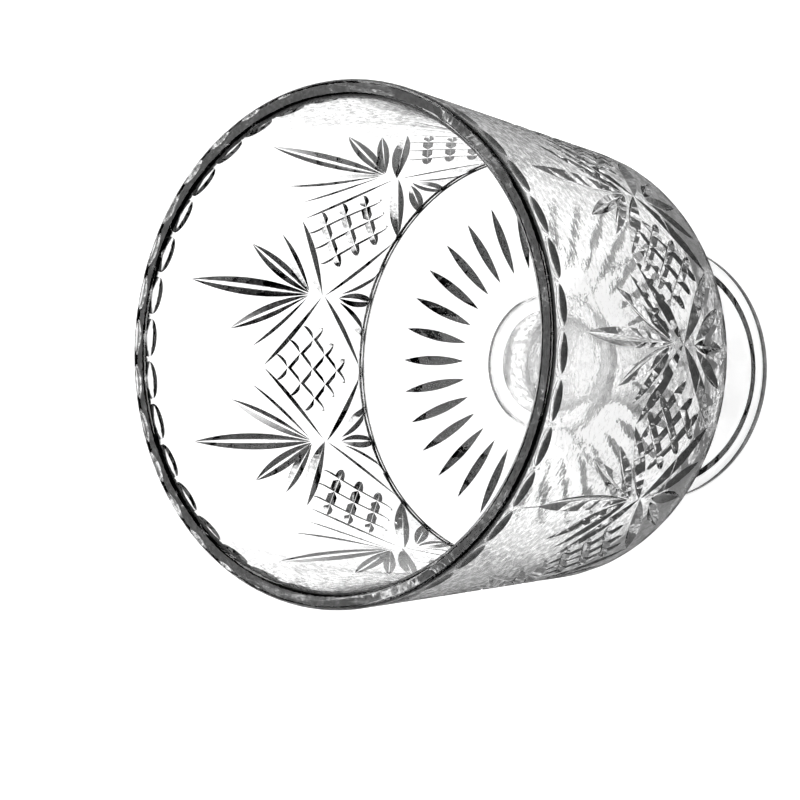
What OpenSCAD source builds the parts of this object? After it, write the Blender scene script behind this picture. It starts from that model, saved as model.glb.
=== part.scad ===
// Footed punch bowl in clear pressed glass.
// A deep bucket-shaped bowl stands on a collar, a stem and a round foot, which are pressed apart
// and fused in a stack. Millimetres, +Z up.
// The origin is the centre of the foot's resting plane.

/* [Overall] */
// Outside diameter of the rim
rim_d = 230; // [224:1:236]
// Height from the table to the rim
total_h = 260; // [256:1:272]

/* [Bowl] */
// Height of the bowl from its outer shoulder to the rim
bowl_h = 161; // [158:1:164]
// Outside diameter at the shoulder, where the wall turns into the base
shoulder_d = 202; // [198:1:206]
// Thickness of the wall at the rim
wall_t = 8; // [7.5:0.5:9]
// Thickness of the base at the shoulder
base_t = 18; // [16:0.5:20]
// How far the underside falls from the shoulder to the collar
base_fall = 9; // [6:0.5:10]

/* [Stand] */
// Diameter of the foot
foot_d = 125; // [116:1:134]
// Thickness of the foot at its edge
foot_edge_t = 6.5; // [6:0.5:8]
// Diameter of the stem at its waist
waist_d = 30; // [26:1:34]
// Diameter of the collar under the bowl
collar_d = 64; // [60:1:66]
// Thickness of the collar
collar_t = 6; // [5:0.5:8]

/* [Hidden] */
$fn = 96;

glass_colour = [0.86, 0.92, 0.94];

// Heights of the main planes
z_shoulder = total_h - bowl_h;
z_inside = z_shoulder + base_t;
z_pad = z_shoulder - base_fall;
z_stem_top = z_pad - collar_t;
z_stem_foot = foot_edge_t + 6;

// Main radii
rim_r = rim_d / 2;
shoulder_r = shoulder_d / 2;
foot_r = foot_d / 2;
pad_r = collar_d / 2 + 1;
inside_base_r = shoulder_r - 6;
stem_top_r = 24.5;
stem_foot_r = 24;

function unit(v) = v / norm(v);

// Points of the arc that rounds a corner between its two neighbours
function corner_arc(before, corner, after, radius, steps = 6) =
    let (
        u = unit(before - corner),
        v = unit(after - corner),
        half = acos(u * v) / 2,
        centre = corner + unit(u + v) * radius / sin(half),
        start = corner + u * radius / tan(half) - centre,
        end = corner + v * radius / tan(half) - centre,
        a0 = atan2(start[1], start[0]),
        turn = atan2(end[1], end[0]) - a0,
        sweep = turn > 180 ? turn - 360 : turn < -180 ? turn + 360 : turn
    )
    [for (i = [0:steps]) centre + radius * [cos(a0 + sweep * i / steps), sin(a0 + sweep * i / steps)]];

// Outline with its corners rounded; each point is [radius, height, rounding radius]
function rounded(points) =
    [for (i = [0:len(points) - 1])
        let (
            p = points[i],
            here = [p[0], p[1]],
            prior = points[max(i - 1, 0)],
            next = points[min(i + 1, len(points) - 1)]
        )
        each p[2] == 0
            ? [here]
            : corner_arc([prior[0], prior[1]], here, [next[0], next[1]], p[2])];

module bowl() {
    color(glass_colour)
        rotate_extrude()
            polygon(rounded([
                [0, z_pad, 0],
                [pad_r, z_pad, 2],
                [shoulder_r, z_shoulder, 5],
                [rim_r, total_h, 2],
                [rim_r - wall_t, total_h, 3],
                [inside_base_r, z_inside, 2],
                [0, z_inside, 0]
            ]));
}

module collar() {
    edge_r = collar_t * 0.45;
    color(glass_colour)
        rotate_extrude()
            polygon(rounded([
                [0, z_stem_top, 0],
                [collar_d / 2, z_stem_top, edge_r],
                [collar_d / 2, z_pad, edge_r],
                [0, z_pad, 0]
            ]));
}

// Radius of the stem at a fraction of its height: thin at the waist, wide at both ends
function stem_r(t) =
    let (
        waist_at = 0.45,
        end_r = t < waist_at ? stem_foot_r : stem_top_r,
        away = t < waist_at ? (waist_at - t) / waist_at : (t - waist_at) / (1 - waist_at)
    )
    waist_d / 2 + (end_r - waist_d / 2) * pow(away, 3);

module stem() {
    rings = 24;
    stem_h = z_stem_top - z_stem_foot;
    color(glass_colour)
        rotate_extrude()
            polygon(concat(
                [[0, z_stem_foot]],
                [for (i = [0:rings]) [stem_r(i / rings), z_stem_foot + stem_h * i / rings]],
                [[0, z_stem_top]]
            ));
}

module foot() {
    hollow_h = 2;
    hollow_r = foot_r - 6;
    bevel_r = foot_r - 8.5;
    color(glass_colour)
        rotate_extrude()
            polygon(rounded([
                [0, hollow_h, 0],
                [hollow_r - 2, hollow_h, 1],
                [hollow_r, 0, 1],
                [foot_r, 0, 2.5],
                [foot_r, foot_edge_t, 3],
                [bevel_r, foot_edge_t + 0.5, 4],
                [stem_foot_r + 1, z_stem_foot, 1],
                [0, z_stem_foot, 0]
            ]));
}

bowl();
collar();
stem();
foot();
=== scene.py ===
"""Looks of a footed punch bowl in clear pressed glass with a cut pattern.

The four glass pieces are rebuilt as smooth closed meshes inside the CAD box, and the cuts are taken out of
the bowl with boolean cutters, so that every facet is real geometry. Lengths are in metres.
"""

import math

import bmesh
import bpy
import numpy as np
from mathutils import Matrix, Vector

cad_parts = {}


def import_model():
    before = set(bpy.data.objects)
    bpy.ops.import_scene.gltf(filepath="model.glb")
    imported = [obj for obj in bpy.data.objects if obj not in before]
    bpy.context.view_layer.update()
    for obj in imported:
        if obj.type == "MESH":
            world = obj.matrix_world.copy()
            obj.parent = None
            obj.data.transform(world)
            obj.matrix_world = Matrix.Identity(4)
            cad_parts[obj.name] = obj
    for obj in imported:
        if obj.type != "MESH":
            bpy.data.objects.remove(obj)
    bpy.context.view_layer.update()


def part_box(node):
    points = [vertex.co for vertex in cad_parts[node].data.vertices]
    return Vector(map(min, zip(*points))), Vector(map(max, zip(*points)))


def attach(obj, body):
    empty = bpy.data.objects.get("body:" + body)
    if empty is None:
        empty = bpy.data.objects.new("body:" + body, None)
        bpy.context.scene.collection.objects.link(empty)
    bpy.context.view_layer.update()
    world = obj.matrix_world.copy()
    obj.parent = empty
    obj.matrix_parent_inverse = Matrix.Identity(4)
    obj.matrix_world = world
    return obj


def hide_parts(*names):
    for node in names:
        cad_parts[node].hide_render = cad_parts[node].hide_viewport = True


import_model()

MM = 0.001
TAU = 2 * math.pi


# ---------------------------------------------------------------- sizes, read from the frame

bowl_low, bowl_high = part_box("bowl")
collar_low, collar_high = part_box("collar")
stem_low, stem_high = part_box("stem")
foot_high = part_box("foot")[1]

RIM_Z = bowl_high.z
RIM_R = max(bowl_high.x, bowl_high.y)
PAD_Z = bowl_low.z
BASE_FALL = 9 * MM
BASE_T = 18 * MM
WALL_T = 8 * MM
SHOULDER_Z = PAD_Z + BASE_FALL
INSIDE_Z = SHOULDER_Z + BASE_T
SHOULDER_R = RIM_R - 14 * MM
INSIDE_BASE_R = SHOULDER_R - 6 * MM
COLLAR_R = collar_high.x
PAD_R = COLLAR_R + MM
FOOT_R = foot_high.x

# Neighbouring pieces run this far into each other, so that their fused joints are clear and not mirrors
FUSE = 0.15 * MM

REPEATS = 9
STEP = TAU / REPEATS
THUMB_CUTS = 36
STAR_LEAVES = 32
# Repeats of the wall pattern on whose middle a seam of the mould lies
BOWL_SEAMS = (2, 5, 8)


# ---------------------------------------------------------------- outlines

def corner_arc(before, corner, after, radius, steps=8):
    """Points of the arc that rounds a corner between its two neighbours."""
    u = (before - corner) / np.linalg.norm(before - corner)
    v = (after - corner) / np.linalg.norm(after - corner)
    half = math.acos(float(u @ v)) / 2
    centre = corner + (u + v) / np.linalg.norm(u + v) * radius / math.sin(half)
    start = corner + u * radius / math.tan(half) - centre
    end = corner + v * radius / math.tan(half) - centre
    a0 = math.atan2(start[1], start[0])
    turn = math.atan2(end[1], end[0]) - a0
    turn = (turn + math.pi) % TAU - math.pi
    return [centre + radius * np.array([math.cos(a0 + turn * i / steps), math.sin(a0 + turn * i / steps)])
            for i in range(steps + 1)]


def rounded(points, steps=8):
    """An outline of (radius, height, rounding radius) points with its corners turned into arcs."""
    out = []
    for i, (r, z, rounding) in enumerate(points):
        here = np.array([r, z])
        if rounding == 0:
            out.append(here)
            continue
        before = np.array(points[i - 1][:2])
        after = np.array(points[i + 1][:2])
        out += corner_arc(before, here, after, rounding, steps)
    return out


def subdivided(outline, longest):
    """The outline with no straight stretch longer than the given length."""
    out = [outline[0]]
    for p, q in zip(outline, outline[1:]):
        pieces = max(1, math.ceil(np.linalg.norm(q - p) / longest))
        out += [p + (q - p) * (i + 1) / pieces for i in range(pieces)]
    return out


def mesh_object(name, vertices, faces):
    mesh = bpy.data.meshes.new(name)
    mesh.from_pydata([tuple(v) for v in vertices], [], faces)
    mesh.update()
    obj = bpy.data.objects.new(name, mesh)
    bpy.context.scene.collection.objects.link(obj)
    return obj


def revolve(name, outline, segments):
    """A closed solid of revolution; the outline starts and ends on the axis and runs anticlockwise."""
    ring = outline[1:-1]
    angles = [TAU * i / segments for i in range(segments)]
    vertices = [(0, 0, outline[0][1])]
    for r, z in ring:
        vertices += [(r * math.cos(a), r * math.sin(a), z) for a in angles]
    vertices.append((0, 0, outline[-1][1]))
    top = len(vertices) - 1
    faces = []
    for i in range(segments):
        j = (i + 1) % segments
        faces.append((0, 1 + j, 1 + i))
        for k in range(len(ring) - 1):
            a = 1 + k * segments
            b = a + segments
            faces.append((a + i, a + j, b + j, b + i))
        last = 1 + (len(ring) - 1) * segments
        faces.append((last + i, last + j, top))
    obj = mesh_object(name, vertices, faces)
    obj.data.materials.append(crystal)
    return obj


# ---------------------------------------------------------------- surfaces that are cut

def wall_r(depth):
    """Outer radius of the wall at a depth below the rim."""
    return RIM_R - (RIM_R - SHOULDER_R) * depth / (RIM_Z - SHOULDER_Z)


WALL_TILT = math.atan((RIM_R - SHOULDER_R) / (RIM_Z - SHOULDER_Z))
UNDER_TILT = math.atan(BASE_FALL / (SHOULDER_R - PAD_R))


def on_wall(angle, depth):
    """Point on the outer wall, and the direction straight out of it."""
    r = wall_r(depth)
    point = np.array([r * math.cos(angle), r * math.sin(angle), RIM_Z - depth])
    out = np.array([math.cos(angle) * math.cos(WALL_TILT), math.sin(angle) * math.cos(WALL_TILT),
                    -math.sin(WALL_TILT)])
    return point, out


def under_base(angle, r):
    """Point on the underside of the base, and the direction straight out of it."""
    z = SHOULDER_Z - math.tan(UNDER_TILT) * (SHOULDER_R - r)
    point = np.array([r * math.cos(angle), r * math.sin(angle), z])
    out = np.array([math.cos(angle) * math.sin(UNDER_TILT), math.sin(angle) * math.sin(UNDER_TILT),
                    -math.cos(UNDER_TILT)])
    return point, out


# ---------------------------------------------------------------- cutters

# How far a cutter stands out of the surface that it cuts
CLEAR = 2.5 * MM
# Fall of a groove's side for each millimetre across it
CUT_SLOPE = 0.8
# The two kinds of glass face that a cutter leaves: plain glass, and the glass given to cut, which is dark painted
# shade for every cut but the seams
PLAIN, FACET = 0, 1


def leaf_profile(t):
    """Share of the full depth along a leaf cut, 0 at both tips and 1 at its belly."""
    return 4 * t * (1 - t)


def bar_profile(t, taper=0.16):
    """Share of the full depth along a straight groove whose ends taper over a share of its length."""
    end = min(t, 1 - t) / taper
    if end >= 1:
        return 1.0
    return math.sqrt(1 - (1 - end) ** 2) if end > 0 else end


def section(share_round, steps=4):
    """The rounded bottom of a V groove from its middle out, as (share of half width, share of depth)."""
    if not share_round:
        return [(0.0, 1.0)]
    shares = [share_round * i / steps for i in range(steps + 1)]
    return [(u, 1 - share_round / 2 - u * u / (2 * share_round)) for u in shares]


def groove(surface, start, end, half_width, profile=leaf_profile, slope=CUT_SLOPE, steps=28, over=0.012,
           share_round=0.35, one_sided=False):
    """Vertices, faces and face glasses of a cutter along a path on a surface: a V, rounded at the bottom.

    The cutter runs past both ends of the path by the share "over", where it is clear of the surface.
    The flat sides of the V take the glass given to cut, dark painted shade for the cuts, and the rounded bottom stays
    plain.
    A one-sided groove has a plain facet on the side that is nearer to the rim, so its painted shade falls on one side
    only.
    """
    half = section(share_round)
    places = [-over + (1 + 2 * over) * i / steps for i in range(steps + 1)]
    path = [surface(*(s + (e - s) * t for s, e in zip(start, end))) for t in places]
    vertices = []
    for i, t in enumerate(places):
        point, out = path[i]
        ahead = path[min(i + 1, steps)][0] - path[max(i - 1, 0)][0]
        across = np.cross(out, ahead)
        across /= np.linalg.norm(across)
        width = half_width * profile(t)
        depth = width * slope
        spread = (CLEAR + depth) / slope
        bottom = [(u * abs(width), v * depth) for u, v in half]
        row = [(spread, -CLEAR)] + bottom[:0:-1] + [(-u, v) for u, v in bottom] + [(-spread, -CLEAR)]
        vertices += [point - out * down + across * aside for aside, down in row]
    size = len(vertices) // (steps + 1)
    # Painted shade: the flat sides get the glass given to cut, and the rounded bottom stays plain
    row_glasses = [FACET] + [PLAIN] * (size - 3) + [FACET, FACET]
    if one_sided:
        row_glasses[0 if across[2] > 0 else size - 2] = PLAIN
    faces = [tuple(range(size))]
    glasses = [FACET]
    for i in range(steps):
        a = size * i
        for j in range(size):
            k = (j + 1) % size
            faces.append((a + j, a + size + j, a + size + k, a + k))
            glasses.append(row_glasses[j])
    faces.append(tuple(reversed(range(size * steps, size * (steps + 1)))))
    glasses.append(FACET)
    return vertices, faces, glasses


# The part of a thumb cut that gets dark painted shade, as shares of a turn round it and beyond this share of its
# radius.
# It is painted only on its side towards the base, the side that is steep enough against the light.
THUMB_PAINTED_SHADE_TURN = (0.05, 0.45)
THUMB_PAINTED_SHADE_FROM = 0.5


def thumb(angle, depth, half_length, half_width, deep, rings=9, spokes=40):
    """Vertices, faces and face glasses of a shallow oval dish cutter whose long axis runs round the bowl."""
    vertices = []
    faces = []
    glasses = []
    reach = math.sqrt(1 + CLEAR / deep)
    for ring in range(1, rings + 1):
        rho = reach * ring / rings
        for spoke in range(spokes):
            turn = TAU * spoke / spokes
            along = half_length * rho * math.cos(turn) / wall_r(depth)
            point, out = on_wall(angle + along, depth + half_width * rho * math.sin(turn))
            vertices.append(point - out * deep * (1 - rho * rho))
    point, out = on_wall(angle, depth)
    bottom = len(vertices)
    vertices.append(point - out * deep)
    vertices.append(point + out * CLEAR)
    for spoke in range(spokes):
        after = (spoke + 1) % spokes
        faces.append((bottom, after, spoke))
        glasses.append(PLAIN)
        # Painted shade: faces on the base side, out from the given share of the radius, take the glass given to cut
        painted_shade_side = THUMB_PAINTED_SHADE_TURN[0] < (spoke + 0.5) / spokes < THUMB_PAINTED_SHADE_TURN[1]
        for ring in range(rings - 1):
            a = ring * spokes
            b = a + spokes
            faces.append((a + spoke, a + after, b + after, b + spoke))
            glasses.append(FACET if painted_shade_side and reach * (ring + 1.5) / rings > THUMB_PAINTED_SHADE_FROM else PLAIN)
        last = (rings - 1) * spokes
        faces.append((last + spoke, last + after, bottom + 1))
        glasses.append(PLAIN)
    return vertices, faces, glasses


def joined(parts):
    """One list of vertices, of faces and of face glasses from several."""
    vertices = []
    faces = []
    glasses = []
    for part_vertices, part_faces, part_glasses in parts:
        offset = len(vertices)
        vertices += part_vertices
        faces += [tuple(i + offset for i in face) for face in part_faces]
        glasses += part_glasses
    return vertices, faces, glasses


def outward(obj):
    """Turns the faces of a closed mesh so that they look out of it."""
    bm = bmesh.new()
    bm.from_mesh(obj.data)
    bmesh.ops.recalc_face_normals(bm, faces=bm.faces)
    bm.to_mesh(obj.data)
    bm.free()


def cut(body, cutters, glass):
    """Takes cutters that don't touch each other out of a body, and leaves facets of the given glass."""
    vertices, faces, glasses = joined(cutters)
    tool = mesh_object("cutter", vertices, faces)
    tool.data.materials.append(crystal)
    tool.data.materials.append(glass)
    tool.data.polygons.foreach_set("material_index", glasses)
    outward(tool)
    modifier = body.modifiers.new("cut", "BOOLEAN")
    modifier.operation = "DIFFERENCE"
    modifier.solver = "MANIFOLD"
    modifier.material_mode = "TRANSFER"
    modifier.object = tool
    bpy.context.view_layer.update()
    evaluated = body.evaluated_get(bpy.context.evaluated_depsgraph_get())
    result = bpy.data.meshes.new_from_object(evaluated)
    body.modifiers.remove(modifier)
    body.data = result
    bpy.data.objects.remove(tool)


def clean(bm):
    """Takes out the slivers, back-to-back faces, flaps and loose ends that a boolean leaves behind."""
    bmesh.ops.remove_doubles(bm, verts=bm.verts, dist=1e-7)
    bmesh.ops.dissolve_degenerate(bm, edges=bm.edges, dist=1e-6)
    bm.verts.index_update()
    by_corners = {}
    for face in bm.faces:
        by_corners.setdefault(frozenset(v.index for v in face.verts), []).append(face)
    stray = [face for faces in by_corners.values() if len(faces) > 1 for face in faces]
    for face in bm.faces:
        sharers = [len(edge.link_faces) for edge in face.edges]
        if min(sharers) == 1 and max(sharers) > 2:
            stray.append(face)
    bmesh.ops.delete(bm, geom=stray, context="FACES_ONLY")
    bmesh.ops.delete(bm, geom=[edge for edge in bm.edges if not edge.link_faces], context="EDGES")
    bmesh.ops.delete(bm, geom=[vertex for vertex in bm.verts if not vertex.link_faces], context="VERTS")


def finish_mesh(obj, sharp_degrees=16):
    """Smooth shading with crisp edges where the surface turns."""
    bm = bmesh.new()
    bm.from_mesh(obj.data)
    clean(bm)
    bm.to_mesh(obj.data)
    bm.free()
    for polygon in obj.data.polygons:
        polygon.use_smooth = True
    obj.data.set_sharp_from_angle(angle=math.radians(sharp_degrees))


# ---------------------------------------------------------------- the cut pattern

# Depths below the rim, as shares of the rim's radius, and angles as shares of one repeat
FAN_ROOT = 0.918
CROSS = 1.012
WALL_CUTS = [
    # start (angle, depth), end (angle, depth), half width in mm, rounded share of the width, one-sided
    ((0, FAN_ROOT), (0, 0.235), 4.4, 0.3, False),
    ((0.01, FAN_ROOT), (0.278, 0.50), 3.6, 0.27, False),
    ((0.02, FAN_ROOT), (0.378, 0.635), 3.0, 0.15, True),
    ((0, CROSS - 0.01), (0.495, 0.705), 4.1, 0.06, True),
    ((0, CROSS), (0.5, 1.30), 4.0, 0.06, True),
    ((0, 1.10), (0, 1.33), 3.6, 0.25, False),
    ((0.03, 1.11), (0.26, 1.33), 3.3, 0.12, True),
]
# The crosshatched panels: the step between grooves (angle, depth), half width in mm and half length in steps
PANEL_CENTRE = 0.985
PANEL_STEP = (0.1, 0.0735)
PANEL_HALF_WIDTH = 2.5
PANEL_REACH = 1.8
THUMB_ROWS = [
    # depth, half length, half width and deepest point in mm
    (0.062, 9.0, 4.5, 1.6),
    (1.365, 8.4, 2.6, 1.0),
]
# Radii of the star's tips as shares of the rim's radius, and the half width of a leaf in mm
STAR_INNER = 0.385
STAR_OUTER = 0.678
STAR_HALF_WIDTH = 2.3
SEAM_TOP = 0.12
SEAM_BOTTOM = 0.26


def wall_place(angle, depth):
    """Angle in radians and depth in metres of a place in the pattern."""
    return angle * STEP, depth * RIM_R


def all_repeats(start, end, half_width, side, **options):
    """The same cut in every repeat of the pattern, mirrored where side is -1."""
    cutters = []
    for i in range(REPEATS):
        places = [wall_place(i + side * angle, depth) for angle, depth in (start, end)]
        cutters.append(groove(on_wall, *places, half_width * MM, **options))
    return cutters


def panel_lines(side):
    """The parallel grooves of the crosshatched panels, leaning one way."""
    cutters = []
    across, down = PANEL_STEP
    for line in (-1, 0, 1):
        middle = (0.5 + line * across * side, PANEL_CENTRE + line * down)
        start = (middle[0] - PANEL_REACH * across * side, middle[1] + PANEL_REACH * down)
        end = (middle[0] + PANEL_REACH * across * side, middle[1] - PANEL_REACH * down)
        cutters += all_repeats(start, end, PANEL_HALF_WIDTH, 1, profile=bar_profile, over=0.01, share_round=0.06,
                               one_sided=True)
    return cutters


def seam(angle):
    """The faint line that a joint of the mould leaves on the wall."""
    return groove(on_wall, (angle, SEAM_TOP * RIM_R), (angle, SEAM_BOTTOM * RIM_R), 0.45 * MM,
                  profile=bar_profile, slope=0.3)


def cut_pattern(bowl):
    # The cuts' facets get dark painted shade and the star's leaves near-black painted shade; the seams stay in the
    # plain crystal
    for start, end, half_width, share_round, one_sided in WALL_CUTS:
        for side in (1, -1) if end[0] else (1,):
            leaves = all_repeats(start, end, half_width, side, share_round=share_round, one_sided=one_sided)
            cut(bowl, leaves, facet_painted_shade_glass)
    for side in (1, -1):
        cut(bowl, panel_lines(side), facet_painted_shade_glass)
    for depth, half_length, half_width, deep in THUMB_ROWS:
        row = [thumb((i + 0.5) * TAU / THUMB_CUTS, depth * RIM_R, half_length * MM, half_width * MM, deep * MM)
               for i in range(THUMB_CUTS)]
        cut(bowl, row, facet_painted_shade_glass)
    star = []
    for i in range(STAR_LEAVES):
        angle = TAU * i / STAR_LEAVES
        star.append(groove(under_base, (angle, STAR_INNER * RIM_R), (angle, STAR_OUTER * RIM_R),
                           STAR_HALF_WIDTH * MM, share_round=0))
    cut(bowl, star, star_painted_shade_glass)
    cut(bowl, [seam(i * STEP) for i in BOWL_SEAMS], crystal)


# ---------------------------------------------------------------- the four glass pieces

def regloss(obj, glass, chosen):
    """Gives a glass to the faces that a test of their centre and normal picks out."""
    obj.data.materials.append(glass)
    slot = len(obj.data.materials) - 1
    for polygon in obj.data.polygons:
        if chosen(polygon.center, polygon.normal):
            polygon.material_index = slot


def build_bowl():
    """The bowl, cut, in copies of one glass with different painted shade: less inside, which is clearer, mottled on
    the rim, and dark on the rounded edges of the shoulder and the pad.
    """
    rim_corner = 2 * MM
    outline = rounded([
        (0, PAD_Z, 0),
        (PAD_R, PAD_Z, 2 * MM),
        (SHOULDER_R, SHOULDER_Z, 5 * MM),
        (RIM_R, RIM_Z, rim_corner),
        (RIM_R - WALL_T, RIM_Z, 3 * MM),
        (INSIDE_BASE_R, INSIDE_Z, 2 * MM),
        (0, INSIDE_Z, 0),
    ])
    bowl = revolve("bowl_glass", subdivided(outline, 12 * MM), 720)
    # Less painted shade on the inside faces, and mottled painted shade on the rim
    regloss(bowl, inner_glass, lambda centre, normal: INSIDE_Z - MM < centre.z < RIM_Z - 3 * MM
            and centre.xy.length < wall_r(RIM_Z - centre.z) - WALL_T / 2)
    regloss(bowl, rim_glass, lambda centre, normal: centre.z > RIM_Z - rim_corner)
    # Dark painted shade on the shoulder's rounded edge, and near-black painted shade on the pad's edges
    regloss(bowl, facet_painted_shade_glass, lambda centre, normal: abs(centre.z - SHOULDER_Z - 0.5 * MM) < 2.5 * MM
            and centre.xy.length > SHOULDER_R - 4 * MM)
    regloss(bowl, star_painted_shade_glass, lambda centre, normal: centre.z < PAD_Z + 1.5 * MM and normal.z > -0.97)
    cut_pattern(bowl)
    return bowl


def build_collar():
    """The collar, whose rounded edge has dark painted shade from the facet glass, drawing a dark ring."""
    edge = 2.7 * MM
    outline = rounded([
        (0, collar_low.z - FUSE, 0),
        (COLLAR_R, collar_low.z - FUSE, edge),
        (COLLAR_R, collar_high.z + FUSE, edge),
        (0, collar_high.z + FUSE, 0),
    ])
    collar = revolve("collar_glass", outline, 256)
    regloss(collar, facet_painted_shade_glass, lambda centre, normal: abs(normal.z) < 0.92)
    return collar


def stem_radius(t):
    """Radius of the stem at a share of its height: thin at the waist, wide at both ends."""
    waist_at = 0.45
    waist_r = 15 * MM
    end_r = 24 * MM if t < waist_at else 24.5 * MM
    away = (waist_at - t) / waist_at if t < waist_at else (t - waist_at) / (1 - waist_at)
    return waist_r + (end_r - waist_r) * away ** 3


def build_stem():
    rings = 48
    low = stem_low.z - FUSE
    high = stem_high.z + FUSE
    outline = [np.array([0, low])]
    outline += [np.array([stem_radius(i / rings), low + (high - low) * i / rings]) for i in range(rings + 1)]
    outline.append(np.array([0, high]))
    stem = revolve("stem_glass", outline, 256)
    stem.data.materials[0] = stem_glass
    return stem


def build_foot():
    """The foot, whose recess underneath has a sloping side with near-black painted shade, drawing a dark ring."""
    hollow = 2 * MM
    hollow_r = FOOT_R - 6 * MM
    bevel_r = FOOT_R - 8.5 * MM
    edge_t = 6.5 * MM
    outline = rounded([
        (0, hollow, 0),
        (hollow_r - 2 * MM, hollow, MM),
        (hollow_r, 0, MM),
        (FOOT_R, 0, 2.5 * MM),
        (FOOT_R, edge_t, 3 * MM),
        (bevel_r, edge_t + 0.5 * MM, 4 * MM),
        (25 * MM, foot_high.z, MM),
        (0, foot_high.z, 0),
    ])
    foot = revolve("foot_glass", outline, 360)
    foot.data.materials[0] = foot_glass
    regloss(foot, star_painted_shade_glass, lambda centre, normal: centre.z < hollow + 0.1 * MM
            and centre.xy.length < hollow_r + MM and normal.z > -0.96)
    return foot


# ---------------------------------------------------------------- glass

def ramp_between(nodes, links, value, low, high):
    """A share that rises from 0 to 1 as a value goes from low to high."""
    share = nodes.new("ShaderNodeMapRange")
    share.inputs["From Min"].default_value = low
    share.inputs["From Max"].default_value = high
    links.new(value, share.inputs["Value"])
    return share.outputs["Result"]


def blend(nodes, links, share, first, second):
    """A mix of two colours, each a grey level or another node's colour."""
    mix = nodes.new("ShaderNodeMix")
    mix.data_type = "RGBA"
    links.new(share, mix.inputs["Factor"])
    for socket, colour in ((mix.inputs["A"], first), (mix.inputs["B"], second)):
        if isinstance(colour, float):
            socket.default_value = (colour, colour, colour, 1)
        else:
            links.new(colour, socket)
    return mix.outputs["Result"]


def noise(nodes, links, place, scale, detail):
    """Noise in the object's own coordinates."""
    texture = nodes.new("ShaderNodeTexNoise")
    texture.inputs["Scale"].default_value = scale
    texture.inputs["Detail"].default_value = detail
    links.new(place.outputs["Object"], texture.inputs["Vector"])
    return texture.outputs["Fac"]


GLASS_IOR = 1.52
# What light keeps when it meets a face from inside and gets out
LET_OUT = 0.985
MOST_ROUGH = 0.012
# Noise (scale, detail) of the broad variation, the fine mottling and the waviness
BROAD = (9.0, 2.0)
MOTTLING = (420.0, 3.0)
WAVES = (90.0, 4.0)


def glass_material(name, outside, edge, edge_shade_range, trapped_shade, critical, waviness=0.05 * MM):
    """Clear glass whose colour is darkened with painted shade where light can't get out of its faces.

    Light that meets a face from outside keeps a share between the two "outside" ones, mottled in fine spots of painted
    shade, and goes towards the painted edge shade set by "edge" over edge_shade_range, a range of Facing, which is 0
    face on and 1 at a grazing angle.
    Light inside the glass that meets a face past the critical angle gets painted shade that stands for light held in
    there. Over the range
    "critical" of Facing it goes to a share between the two trapped_shade ones.
    """
    material = bpy.data.materials.new(name)
    material.use_nodes = True
    nodes = material.node_tree.nodes
    links = material.node_tree.links
    nodes.clear()
    shader = nodes.new("ShaderNodeBsdfGlass")
    shader.inputs["IOR"].default_value = GLASS_IOR
    place = nodes.new("ShaderNodeTexCoord")
    broad = noise(nodes, links, place, *BROAD)
    fine = ramp_between(nodes, links, noise(nodes, links, place, *MOTTLING), 0.42, 0.6)

    glance = nodes.new("ShaderNodeLayerWeight")
    glance.inputs["Blend"].default_value = 0.5
    facing = glance.outputs["Facing"]
    side = nodes.new("ShaderNodeNewGeometry")
    # Painted shade in the colour: mottled in fine spots, going to the edge share on front faces at a slant, and to the
    # trapped_shade share on back faces past the critical angle
    painted_mottled_shade = blend(nodes, links, fine, *outside)
    clear = blend(nodes, links, broad, painted_mottled_shade, outside[1])
    painted_edge_shade = blend(nodes, links, fine, edge * 0.25, edge * 3)
    front = blend(nodes, links, ramp_between(nodes, links, facing, *edge_shade_range), clear, painted_edge_shade)
    painted_shade_within = blend(nodes, links, fine, *trapped_shade)
    back = blend(nodes, links, ramp_between(nodes, links, facing, *critical), LET_OUT, painted_shade_within)
    colour = blend(nodes, links, side.outputs["Backfacing"], front, back)
    links.new(colour, shader.inputs["Color"])

    polish = nodes.new("ShaderNodeMapRange")
    polish.inputs["To Max"].default_value = MOST_ROUGH
    links.new(broad, polish.inputs["Value"])
    links.new(polish.outputs["Result"], shader.inputs["Roughness"])

    bump = nodes.new("ShaderNodeBump")
    bump.inputs["Distance"].default_value = waviness
    links.new(noise(nodes, links, place, *WAVES), bump.inputs["Height"])
    links.new(bump.outputs["Normal"], shader.inputs["Normal"])
    output = nodes.new("ShaderNodeOutputMaterial")
    links.new(shader.outputs["BSDF"], output.inputs["Surface"])
    return material


# ---------------------------------------------------------------- stage, light, camera

def disc(radius, segments, z):
    vertices = [(radius * math.cos(TAU * i / segments), radius * math.sin(TAU * i / segments), z)
                for i in range(segments)]
    return vertices, [tuple(range(segments))]


def stage():
    """A pale floor that glows a little, just under the foot."""
    floor = mesh_object("floor", *disc(6.0, 96, -0.4 * MM))
    material = bpy.data.materials.new("floor_pale")
    material.use_nodes = True
    shader = material.node_tree.nodes["Principled BSDF"]
    shader.inputs["Base Color"].default_value = (0.9, 0.9, 0.9, 1)
    shader.inputs["Roughness"].default_value = 1.0
    shader.inputs["Specular IOR Level"].default_value = 0.0
    shader.inputs["Emission Color"].default_value = (1, 1, 1, 1)
    shader.inputs["Emission Strength"].default_value = 0.8
    floor.data.materials.append(material)


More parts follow.
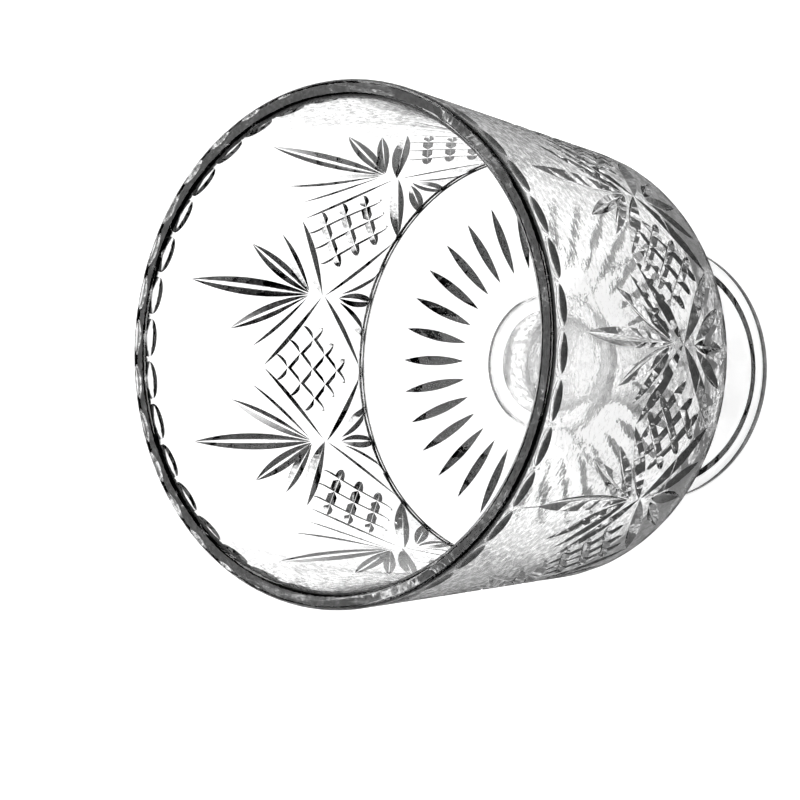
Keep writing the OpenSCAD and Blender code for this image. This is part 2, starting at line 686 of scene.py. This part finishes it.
def world():
    """Bright walls all round and a dark ceiling, so that the cuts draw dark lines; a pale backdrop to the eye."""
    sky = bpy.data.worlds.new("studio")
    bpy.context.scene.world = sky
    sky.use_nodes = True
    nodes = sky.node_tree.nodes
    links = sky.node_tree.links
    nodes.clear()
    place = nodes.new("ShaderNodeTexCoord")
    split = nodes.new("ShaderNodeSeparateXYZ")
    links.new(place.outputs["Generated"], split.inputs["Vector"])
    ramp = nodes.new("ShaderNodeValToRGB")
    wall_top, ceiling = ramp.color_ramp.elements
    wall_top.position = 0.30
    wall_top.color = (1, 1, 1, 1)
    ceiling.position = 0.42
    ceiling.color = (0.02, 0.02, 0.02, 1)
    links.new(split.outputs["Z"], ramp.inputs["Fac"])
    studio = nodes.new("ShaderNodeBackground")
    links.new(ramp.outputs["Color"], studio.inputs["Color"])
    backdrop = nodes.new("ShaderNodeBackground")
    backdrop.inputs["Color"].default_value = (0.96, 0.96, 0.96, 1)
    eye = nodes.new("ShaderNodeLightPath")
    mix = nodes.new("ShaderNodeMixShader")
    links.new(eye.outputs["Is Camera Ray"], mix.inputs["Fac"])
    links.new(studio.outputs["Background"], mix.inputs[1])
    links.new(backdrop.outputs["Background"], mix.inputs[2])
    output = nodes.new("ShaderNodeOutputWorld")
    links.new(mix.outputs["Shader"], output.inputs["Surface"])


def soft_light(name, place, target, width, height, power):
    """A rectangular lamp that faces its target."""
    lamp = bpy.data.lights.new(name, "AREA")
    lamp.shape = "RECTANGLE"
    lamp.size = width
    lamp.size_y = height
    lamp.energy = power
    obj = bpy.data.objects.new(name, lamp)
    obj.location = place
    obj.rotation_euler = (Vector(target) - Vector(place)).to_track_quat("-Z", "Y").to_euler()
    bpy.context.scene.collection.objects.link(obj)


def lights():
    soft_light("overhead", (-0.3, -0.9, 2.2), (0, 0, 0.1), 1.4, 1.0, 22)
    soft_light("far", (0.6, 0.9, 2.0), (0, 0, 0.1), 1.4, 1.0, 10)
    soft_light("side", (1.9, -0.4, 1.4), (0, 0, 0.15), 0.5, 1.2, 10)


def camera():
    """The bowl seen from above its rim, with the camera rolled so that the bowl lies on its side in the picture."""
    azimuth, elevation, roll = (math.radians(a) for a in (-125.92, 53.20, -86.10))
    look_at = Vector((-0.1564, 0.1133, 1.8265)) * RIM_R
    distance = 13.478 * RIM_R
    back = Vector((math.cos(azimuth) * math.cos(elevation), math.sin(azimuth) * math.cos(elevation),
                   math.sin(elevation)))
    data = bpy.data.cameras.new("camera")
    data.sensor_width = 36
    data.lens = 157.5
    data.clip_start = 0.05
    data.clip_end = 50
    obj = bpy.data.objects.new("camera", data)
    turn = (-back).to_track_quat("-Z", "Y").to_matrix().to_4x4() @ Matrix.Rotation(roll, 4, "Z")
    obj.matrix_world = Matrix.Translation(look_at + back * distance) @ turn
    bpy.context.scene.collection.objects.link(obj)
    bpy.context.scene.camera = obj


# ---------------------------------------------------------------- the scene

camera()
stage()
world()
lights()

# name, outside, edge, edge_shade_range, trapped_shade, critical. Copies of one clear glass that differ in the painted
# shade of their colour:
# less inside and on the stem and foot, mottled on the rim, dark on the facets and near black on the star
crystal = glass_material("crystal", (0.78, 0.98), 0.12, (0.62, 0.97), (0.25, 1.0), (0.17, 0.26), waviness=0.12 * MM)
stem_glass = glass_material("crystal_stem", (0.9, 1.0), 0.15, (0.45, 0.9), (0.4, 1.0), (0.17, 0.26))
inner_glass = glass_material("crystal_inside", (0.97, 1.0), 0.3, (0.8, 1.0), (0.4, 1.0), (0.17, 0.26))
rim_glass = glass_material("crystal_rim", (0.55, 1.0), 0.33, (0.6, 1.0), (0.4, 1.0), (0.17, 0.26))
facet_painted_shade_glass = glass_material("crystal_facets_painted_shade", (0.5, 0.95), 0.06, (0.55, 0.95), (0.005, 0.07), (0.06, 0.16))
star_painted_shade_glass = glass_material("crystal_star_painted_shade", (0.8, 0.9), 0.06, (0.55, 0.95), (0.003, 0.04), (0.0, 0.05))
foot_glass = glass_material("crystal_foot", (0.97, 1.0), 0.5, (0.85, 1.0), (0.5, 1.0), (0.2, 0.3))
for build, node in ((build_bowl, "bowl"), (build_collar, "collar"), (build_stem, "stem"), (build_foot, "foot")):
    piece = build()
    outward(piece)
    finish_mesh(piece)
    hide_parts(node)
    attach(piece, "root")

settings = bpy.context.scene
settings.view_settings.view_transform = "Standard"
settings.cycles.max_bounces = 24
settings.cycles.transmission_bounces = 24
settings.cycles.transparent_max_bounces = 16
